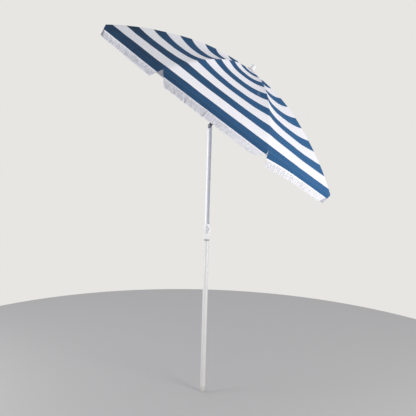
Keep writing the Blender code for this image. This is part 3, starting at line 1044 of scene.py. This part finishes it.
@dataclass
class Canopy:
    """Canvas, valance, braid and fringe, one set for each rib.

    Args:
        steps_along: Rows of the cloth between the crown and the hem.
        steps_across: Columns of the cloth between a rib and the middle of a gore.
        first: Where the cloth starts, from the crown washer along the rib.
        keep: Share of its width that a panel would keep when the canopy is folded; not used.
        lap: Width of the cloth that reaches under the next panel, near the crown.
        lap_run: Where along the rib that lap starts and ends.
        lap_fade: Over which length it narrows to its end.
        lap_depth: How far it lies below the outer face.
        flap_rows: Distances below the fold of the valance's rows, above its edge.
        roll: Radius of the fold.
        sway: Height of the valance's broad and fine unevenness.
        curl: How round the valance's one curled end is; 1 is a straight cut.
        curl_taper: How far that end's lowest point stops short of the rib.
        curl_lean: How far that end leans towards the rib, per metre that it hangs.
        droop: How much lower the valance's start hangs beside the curled end.
        curled: The rib by which that end lies.
    """

    head: HeadFrame
    wardrobe: Wardrobe
    shape: CanopyShape = CanopyShape()
    trim: Fringe = Fringe()
    tape: TapeJoint = TapeJoint()
    patch: MendingPatch = MendingPatch()
    steps_along: int = 54
    steps_across: int = 14
    first: float = 0.0025
    thickness: float = 0.0005
    keep: float = 0.42
    lap: float = 0.012
    lap_run: tuple[float, float] = (0.006, 0.19)
    lap_fade: float = 0.07
    lap_depth: float = 0.0009
    flap_rows: tuple[float, ...] = (0.0008, 0.002, 0.004, 0.008, 0.013, 0.019, 0.025)
    roll: float = 0.0028
    sway: tuple[float, float] = (0.004, 0.0012)
    curl: float = 2.6
    curl_taper: float = 0.085
    curl_lean: float = 0.35
    droop: float = 0.014
    curled: int = 7

    def build(self) -> None:
        """Makes every panel with its fringe."""
        for number in range(1, self.shape.ribs + 1):
            cloth = self.panel(number)
            pieces = [self.braid(number), self.fringe(number), self.lap_piece(number)]
            if number == self.patch.rib:
                pieces.append(self.mending_patch())
            if number == self.tape.rib:
                pieces.append(self.tape_joint())
            for piece in [cloth, *pieces]:
                self.attach(piece, number)
            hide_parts(f"canopy_panel_{number}")
            self.declare()
            LOG.info("canopy panel %d: %d strands of fringe a side", number, self.strands)

    @property
    def strands(self) -> int:
        """How many strands hang from one side of a panel's valance."""
        return int(self.shape.half_hem / self.trim.gap)

    def on_canvas(self, number: int, reach: Reach, s: float, across: float) -> tuple[Vector, Triple]:
        """A point of the canvas in the frame, and its place in the cut."""
        place = self.head.matrix @ self.shape.point(number, reach, s, across)
        return place, (reach.value * across * self.shape.half_width(s), self.shape.rib_length - s, 0.0)

    def on_flap(self, number: int, reach: Reach, across: float, down: float) -> tuple[Vector, Triple]:
        """A point of the valance in the frame, and its place in the cut."""
        place = self.head.matrix @ self.flap_point(number, reach, across, down)
        return place, (reach.value * across * self.shape.half_hem, -down, 0.0)

    def flap_point(self, number: int, reach: Reach, across: float, down: float,
                   out: float = 0.0) -> Vector:
        """A point of the valance, in the head's frame.

        Args:
            number: The rib's number.
            reach: Which side of the rib it is on.
            across: 0 at the valance's end by the rib and 1 in the middle of the gore.
            down: Distance below the fold of the hem.
            out: Distance outside the cloth's outer face.

        Returns:
            The point.
        """
        shape = self.shape
        taper = shape.flap_taper * down / shape.flap_drop
        if (number, reach) == (self.curled, Reach.LEFT):
            taper = self.curl_taper * (down / shape.flap_drop) ** self.curl - self.curl_lean * down
        if (number, reach) == (self.curled, Reach.RIGHT):
            down += self.droop * (1 - across) ** 2 * min(down / shape.band_drop, 1.0)
        short = taper / shape.half_hem
        fold = shape.point(number, reach, shape.rib_length, short + (1 - short) * across)
        middle = shape.rib_angle(number) + shape.half_gore * reach.value
        outward = Vector((math.cos(middle), math.sin(middle), 0))
        bulge = self.roll * (1 - math.exp(-down / self.roll))
        broad, fine, elsewhere = 9.0, 38.0, Vector((0, 0, 3.7))
        sway = noise.noise(fold * broad + elsewhere) * self.sway[0]
        sway += noise.noise(fold * fine) * self.sway[1]
        return fold + outward * (bulge + sway * down / shape.flap_drop + out) - Vector((0, 0, down))

    def panel(self, number: int) -> bpy.types.Object:
        """The canvas over one rib, out to the middle of both gores, with two half valances.

        Args:
            number: The rib's number.

        Returns:
            The panel.
        """
        shape, cloth = self.shape, ClothMesh()
        stations = [self.first + (shape.rib_length - self.first) * t for t in shares(self.steps_along)]
        columns = shares(self.steps_across)
        ridge = cloth.grid([0.0], stations, lambda a, s: self.on_canvas(number, Reach.RIGHT, s, a))
        for reach in Reach:
            side = ridge + cloth.grid(columns[1:], stations,
                                      lambda a, s: self.on_canvas(number, reach, s, a))
            cloth.skin(side)
            flap = cloth.grid([*self.flap_rows, shape.band_drop], columns,
                              lambda down, a: self.on_flap(number, reach, a, down))
            cloth.skin([[column[-1] for column in side], *flap])
        made = cloth.finish(f"canopy_cloth_{number}", self.head.axis)
        solid = thicken(made, self.thickness)
        solid.material_offset, solid.material_offset_rim = 1, 0
        split_edges(made, 45)
        return dress(made, self.wardrobe.made["canvas_outer"], self.wardrobe.made["canvas_under"])

    def on_lap(self, number: int, reach: Reach, step: float, s: float) -> tuple[Vector, Triple]:
        """A point of the seam allowance.

        Args:
            number: The rib's number.
            reach: Which side of the rib.
            step: 0 on the seam and 1 at the far edge, under the neighbouring panel.
            s: Distance from the crown along the rib.

        Returns:
            Its place in the frame and its place in the cut.
        """
        shape = self.shape
        wide = self.lap * min(1.0, (self.lap_run[1] - s) / self.lap_fade) * step
        across = 1 - abs(wide) / shape.half_width(s)
        if step > 0:
            number = (number - 1 + reach.value) % shape.ribs + 1
            reach = Reach(-reach.value)
        place = self.head.matrix @ shape.point(number, reach, s, across, self.lap_depth)
        return place, (wide, shape.rib_length - s, 0.0)

    def lap_piece(self, number: int) -> bpy.types.Object:
        """Seam allowance near the crown: a strip that lies under the neighbouring panels.

        Args:
            number: The rib's number.

        Returns:
            The strip.
        """
        cloth, (start, end) = ClothMesh(), self.lap_run
        stations = [start + (end - start) * t for t in shares(16)]
        for reach in Reach:
            cloth.skin(cloth.grid([-0.25, 0.0, 0.5, 1.0], stations,
                                  lambda step, s: self.on_lap(number, reach, step, s)))
        made = cloth.finish(f"seam_allowance_{number}", self.head.axis)
        thicken(made, 0.0004)
        return dress(made, self.wardrobe.made["canvas_under"])

    def on_trim(self, number: int, reach: Reach, across: float, down: float, out: float,
                cut: tuple[float, float]) -> tuple[Vector, Triple]:
        """A point of the braid or the fringe in the frame, and its place in the cut."""
        place = self.head.matrix @ self.flap_point(number, reach, across, down, out)
        return place, (across * self.shape.half_hem, *cut)

    def braid(self, number: int) -> bpy.types.Object:
        """The flat cotton braid that the fringe hangs from.

        Args:
            number: The rib's number.

        Returns:
            The braid.
        """
        cloth, top, strand = ClothMesh(), self.shape.band_drop - self.trim.braid_rise, 0.3
        for reach in Reach:
            cloth.skin(cloth.grid(
                shares(self.trim.braid_steps), self.trim.braid_outline,
                lambda across, spot: self.on_trim(number, reach, across, top + spot[1], spot[0],
                                                  (spot[1], strand))), closed=True, capped=True)
        return dress(cloth.finish(f"fringe_braid_{number}"), self.wardrobe.made["braid_cotton"])

    def gather(self, number: int, reach: Reach, wide: float, down: float) -> float:
        """How far the fringe's soft waves stand out from the valance.

        Args:
            number: The rib's number.
            reach: Which side of the rib.
            wide: Distance from the rib, in metres.
            down: Distance below the fold of the hem.

        Returns:
            The distance, in metres.
        """
        (broad, broad_down), (narrow, narrow_down) = (62.0, 9.0), (190.0, 20.0)
        run = Vector((wide * broad, 5.0 * number + reach.value, down * broad_down))
        fine = Vector((wide * narrow, 3.0 * number - reach.value, down * narrow_down))
        band = self.shape.band_drop
        share = min(max((down - band) / (self.shape.flap_drop - band), 0.0), 1.0)
        return (self.trim.wave * noise.noise(run) + self.trim.ripple * noise.noise(fine)) * share

    def fringe_end(self, number: int, reach: Reach, wide: float) -> float:
        """How far below the fold the fringe is cut there.

        Args:
            number: The rib's number.
            reach: Which side of the rib.
            wide: Distance from the rib, in metres.

        Returns:
            The distance, in metres.
        """
        pace, usual = 75.0, 0.97
        run = Vector((wide * pace, 11.0 * number, 7.0 * reach.value))
        return self.shape.flap_drop * (usual + self.trim.uneven * noise.noise(run))

    def on_loops(self, number: int, reach: Reach, across: float, share: float) -> tuple[Vector, Triple]:
        """A point of the layer of loops behind the strands.

        Args:
            number: The rib's number.
            reach: Which side of the rib.
            across: 0 at the valance's end by the rib and 1 in the middle of the gore.
            share: 0 at the layer's top and 1 at its lower end.

        Returns:
            Its place in the frame and its place in the cut.
        """
        top, wide, strand = self.shape.band_drop, across * self.shape.half_hem, 0.35
        down = top + (self.fringe_end(number, reach, wide) - self.trim.short - top) * share
        out = self.gather(number, reach, wide, down)
        return self.on_trim(number, reach, across, down, out, (down * 0.05, strand))

    def fringe(self, number: int) -> bpy.types.Object:
        """The fringe: a layer of loops with cut cotton strands lying over both its faces.

        Args:
            number: The rib's number.

        Returns:
            The fringe.
        """
        draw, cloth = random.Random(SEED + number), ClothMesh()
        along, down = self.trim.backing
        for reach in Reach:
            cloth.skin(cloth.grid(shares(along), shares(down),
                                  lambda a, t: self.on_loops(number, reach, a, t)))
            for i in range(self.strands):
                self.strand(cloth, draw, number, reach, i)
        made = cloth.finish(f"fringe_{number}")
        split_edges(made, 60)
        return dress(made, self.wardrobe.made["fringe_yarn"])

    def strand(self, cloth: ClothMesh, draw: random.Random, number: int, reach: Reach,
               place_in_row: int) -> None:
        """Adds one strand of the fringe.

        Args:
            cloth: The mesh it is added to.
            draw: The source of its irregularities.
            number: The rib's number.
            reach: Which side of the rib.
            place_in_row: Its place, counted from the rib.
        """
        shape, trim = self.shape, self.trim
        across, top = (place_in_row + 0.5) / self.strands, shape.band_drop + trim.root
        wide = across * shape.half_hem
        depth = trim.layer if place_in_row % 2 else -trim.layer
        shortest, longest, root_width = 0.985, 1.025, 1.15
        end = self.fringe_end(number, reach, wide) * draw.uniform(shortest, longest)
        lean, shade = draw.gauss(0, trim.spread), draw.random()
        turn = math.radians(90) + shape.rib_angle(number) + shape.half_gore * reach.value
        sideways = Vector((math.cos(turn), math.sin(turn), 0))
        outward = Vector((sideways.y, -sideways.x, 0))
        rings = []
        for share in shares(trim.steps):
            down = top + (end - top) * share
            out = depth + self.gather(number, reach, wide, down)
            middle = self.flap_point(number, reach, across, down, out) + sideways * lean * share ** 2
            thick = trim.radius * (root_width - trim.thin * share)
            ring = []
            for angle in (2 * math.pi * corner / trim.sides for corner in range(trim.sides)):
                offset = sideways * math.cos(angle) + outward * math.sin(angle) * trim.flat
                ring.append(cloth.vert(self.head.matrix @ (middle + offset * thick),
                                       (angle * 0.0003, down, shade)))
            rings.append(ring)
        cloth.skin(rings, closed=True, capped=True)

    def tape_joint(self) -> bpy.types.Object:
        """The folded end of the fringe's tape.

        Returns:
            The piece.
        """
        tape, cloth, top = self.tape, ClothMesh(), self.shape.band_drop - self.trim.braid_rise
        first, last = tape.across

        def spot(t: float, u: float) -> tuple[Vector, Triple]:
            """A point of the tape.

            Args:
                t: 0 at its top and 1 at its lower end.
                u: 0 at one side and 1 at the other.

            Returns:
                Its place in the frame and its place in the cut.
            """
            down, across = top + (tape.bottom - top) * t, first - tape.slant * t + (last - first) * u
            waves = self.gather(tape.rib, Reach.RIGHT, across * self.shape.half_hem, down)
            return self.on_trim(tape.rib, Reach.RIGHT, across, down, tape.proud + waves,
                                (down * 0.05, 0.0))

        cloth.skin(cloth.grid(shares(8), shares(3), spot))
        made = cloth.finish("fringe_tape_joint")
        thicken(made, tape.thickness, 0.0)
        return dress(made, self.wardrobe.made["braid_cotton"])

    def mending_patch(self) -> bpy.types.Object:
        """The mending patch.

        Returns:
            The piece.
        """
        patch, shape, cloth = self.patch, self.shape, ClothMesh()

        def spot(t: float, u: float) -> tuple[Vector, Triple]:
            """A point of the patch.

            Args:
                t: 0 at its top and 1 at its lower end.
                u: 0 at one side and 1 at the other.

            Returns:
                Its place in the frame and its place in the cut.
            """
            s, side = shape.rib_length - patch.above_hem + patch.tall * t, patch.start + patch.wide * u
            place = shape.point(patch.rib, Reach.LEFT, s, side / shape.half_width(s), -patch.proud)
            return self.head.matrix @ place, (side, shape.rib_length - s, 0.0)

        cloth.skin(cloth.grid(shares(8), shares(3), spot))
        made = cloth.finish("mending_patch", self.head.axis)
        thicken(made, patch.thickness)
        return dress(made, self.wardrobe.made["canvas_under"])

    def attach(self, piece: bpy.types.Object, number: int) -> None:
        """Makes a piece move with its rib.

        Args:
            piece: The piece.
            number: The rib's number.
        """
        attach(piece, f"rib_{number}")
        self.head.fold_joint(number)
        self.head.rib_axis(number)
        self.head.rib_pivot(number)
        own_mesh(piece)

    def declare(self) -> None:
        """Works out the width and the area of cloth that a panel is cut to.
        """
        shape = self.shape
        width = 2 * shape.half_hem
        area = shape.rib_length * (width + 2 * shape.half_width(0.0)) / 2 + shape.band_drop * width


# Hardware -------------------------------------------------------------------------------------


@dataclass(frozen=True)
class Coat:
    """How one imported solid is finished.

    Args:
        finish: The name of its finish.
        ease: Width of the bevel along its sharp edges, in metres; 0 for none.
        crease: Edges turning by more than this many degrees stay sharp.
    """

    finish: str
    ease: float = 0.0
    crease: float = 32.0


@dataclass
class Hardware:
    """The pole, the joints, the crown and the ribs.

    Args:
        frame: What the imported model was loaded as.
        coats: Node name, without a number at its end, to its finish.
    """

    frame: dict
    wardrobe: Wardrobe
    coats: dict[str, Coat] = field(default_factory=lambda: {
        "lower_tube": Coat("lower_pole_paint", 0.0002),
        "ground_spike": Coat("spike_plastic"),
        "clamp_collar": Coat("white_moulding", crease=40.0),
        "collar_ring": Coat("grey_moulding", 0.0004),
        "clamp_insert": Coat("brass_turning"),
        "clamp_wing_screw": Coat("white_moulding", 0.0008, 38.0),
        "guide_bush": Coat("dark_moulding"),
        "upper_tube": Coat("upper_pole_lacquer"),
        "tilt_fork": Coat("slate_moulding"),
        "tilt_pin": Coat("drawn_steel"),
        "tilt_button": Coat("slate_moulding", crease=50.0),
        "tilt_tongue": Coat("slate_moulding"),
        "top_tube": Coat("upper_pole_lacquer", 0.0002),
        "crown_hub": Coat("white_moulding"),
        "crown_wire": Coat("drawn_steel", crease=70.0),
        "crown_cap": Coat("crown_moulding", crease=60.0),
        "finial": Coat("white_moulding", crease=60.0),
        "runner": Coat("white_moulding"),
        "rib": Coat("rib_enamel", crease=60.0),
        "rib_tip": Coat("white_moulding", crease=60.0),
        "rib_clip": Coat("dark_moulding"),
        "strut": Coat("rib_enamel", crease=60.0),
    })

    def build(self) -> None:
        """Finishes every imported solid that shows."""
        for name, node in self.frame["nodes"].items():
            if name.startswith("canopy_panel"):
                continue
            coat = self.coats[base_name(name)]
            dress(node, self.wardrobe.made[coat.finish])
            self.ease(node, coat)
            LOG.info("%s: %s", name, coat.finish)

    def ease(self, node: bpy.types.Object, coat: Coat) -> None:
        """Smooths a solid's round faces and eases its edges.

        Args:
            node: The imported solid.
            coat: How it is finished.
        """
        for face in node.data.polygons:
            face.use_smooth = True
        node.modifiers.new("Weld", "WELD").merge_threshold = 0.00001
        if coat.ease:
            bevel = node.modifiers.new("Ease", "BEVEL")
            bevel.width, bevel.segments = coat.ease, 2
            bevel.limit_method = "ANGLE"
            bevel.angle_limit = math.radians(coat.crease)
        split_edges(node, coat.crease)


# Studio ---------------------------------------------------------------------------------------


@dataclass(frozen=True)
class Lamp:
    """One square area light.

    Args:
        target: What it points at.
        size: Its side, in metres.
        power: Its power, in watts.
    """

    name: str
    place: Triple
    target: Triple
    size: float
    power: float
    color: Color = (1.0, 1.0, 1.0)

    def hang(self) -> bpy.types.Object:
        """Puts the light in the scene.

        Returns:
            The light.
        """
        data = bpy.data.lights.new(self.name, "AREA")
        data.size, data.energy, data.color = self.size, self.power, self.color
        made = link(self.name, data)
        made.location = self.place
        toward = Vector(self.target) - Vector(self.place)
        made.rotation_euler = toward.to_track_quat("-Z", "Y").to_euler()
        return made


@dataclass(frozen=True)
class Studio:
    """Camera, light and a pale floor.

    Args:
        eye: Where the camera stands.
        yaw: How far it is turned from +Y, in degrees.
        pitch: How far it looks up, in degrees.
        roll: How far it is rolled, in degrees.
        lens: Focal length, in mm.
        backdrop_color: The colour that shows behind the umbrella.
        sky_color: The colour of the soft light all round.
        sky_strength: Its strength.
        left_glow: How much stronger it is from the left, as a share.
        front_dim: How much weaker it is from the front, as a share.
        key: The low light from the right.
        side: The light from the left.
        shaded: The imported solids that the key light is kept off.
    """

    eye: Triple = (0.192, -4.174, 1.777)
    yaw: float = -2.595
    pitch: float = -7.81
    roll: float = 1.628
    lens: float = 58.44
    sensor: float = 36.0
    floor_color: Color = (0.47, 0.46, 0.45)
    floor_radius: float = 2.6
    floor_roughness: float = 0.95
    floor_specular: float = 0.1
    backdrop_color: Color = (0.80, 0.79, 0.765)
    sky_color: Color = (0.94, 0.95, 1.0)
    sky_strength: float = 0.80
    left_glow: float = 0.45
    front_dim: float = 0.50
    key: Lamp = Lamp("key", (3.4, -3.0, 1.5), (0.1, 0, 1.8), 1.8, 134.0, (1.0, 0.99, 0.97))
    side: Lamp = Lamp("side", (-3.2, -0.9, 1.0), (0, 0, 1.1), 1.2, 46.0)
    shaded: tuple[str, ...] = ("upper_tube", "top_tube")

    def build(self) -> None:
        """Sets up everything round the umbrella."""
        self.aim_camera()
        self.lay_floor()
        self.light_sky()
        self.flag_off(self.key.hang())
        self.side.hang()

    def aim_camera(self) -> None:
        """Places the camera at its angle on the umbrella."""
        yaw, pitch, roll = (math.radians(a) for a in (self.yaw, self.pitch, self.roll))
        ahead = Vector((math.sin(yaw) * math.cos(pitch), math.cos(yaw) * math.cos(pitch),
                        math.sin(pitch)))
        right = Vector((math.cos(yaw), -math.sin(yaw), 0))
        up = right.cross(ahead)
        right, up = (math.cos(roll) * right + math.sin(roll) * up,
                     math.cos(roll) * up - math.sin(roll) * right)
        data = bpy.data.cameras.new("camera")
        data.lens, data.sensor_width = self.lens, self.sensor
        camera = link("camera", data)
        camera.matrix_world = Matrix.Translation(self.eye) @ Matrix(
            (right, up, -ahead)).transposed().to_4x4()
        bpy.context.scene.camera = camera

    def lay_floor(self) -> None:
        """Lays a round pale floor under the umbrella."""
        bm = bmesh.new()
        bmesh.ops.create_circle(bm, cap_ends=True, segments=96, radius=self.floor_radius)
        mesh = bpy.data.meshes.new("floor")
        bm.to_mesh(mesh)
        bm.free()
        material, wiring, surface = new_material("studio_floor")
        wiring.feed(surface, {"Base Color": self.floor_color, "Roughness": self.floor_roughness,
                              "Specular IOR Level": self.floor_specular})
        dress(link("floor", mesh), material)

    def light_sky(self) -> None:
        """Soft light from all round, weaker from the front and stronger from the left."""
        world = bpy.data.worlds.new("studio")
        world.use_nodes = True
        wiring = NodeWiring(world.node_tree)
        shown = wiring.add("LightPath").outputs["Is Camera Ray"]
        toward = wiring.parts(wiring.add("TexCoord").outputs["Generated"])
        leftward, frontward = (wiring.math("MAXIMUM", wiring.times(part, -1.0), 0.0)
                               for part in (toward[0], toward[1]))
        level = wiring.scaled(leftward, self.left_glow, 1.0)
        level = wiring.times(wiring.scaled(frontward, -self.front_dim, level), self.sky_strength)
        hidden = wiring.math("SUBTRACT", 1.0, shown)
        wiring.feed(world.node_tree.nodes["Background"].inputs, {
            "Color": wiring.blend(shown, self.sky_color, self.backdrop_color),
            "Strength": wiring.scaled(hidden, level, shown)})
        bpy.context.scene.world = world
        bpy.context.scene.view_settings.view_transform = "Standard"

    def flag_off(self, light: bpy.types.Object) -> None:
        """Keeps a light off the shaded solids, as a flag on a stand would.

        Args:
            light: The light.
        """
        reached = bpy.data.collections.new("reached_by_key")
        for obj in bpy.context.scene.objects:
            if obj.type == "MESH" and obj.name not in self.shaded:
                reached.objects.link(obj)
        light.light_linking.receiver_collection = reached


def main() -> None:
    """Builds the umbrella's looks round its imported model."""
    logging.basicConfig(level=logging.INFO, format="%(name)s: %(message)s")
    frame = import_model()
    head = HeadFrame({joint["name"]: joint for joint in frame["joints"]})
    wardrobe = Wardrobe(SharedEffects())
    Hardware(frame, wardrobe).build()
    Canopy(head, wardrobe).build()
    Studio().build()


if __name__ == "__main__":
    main()
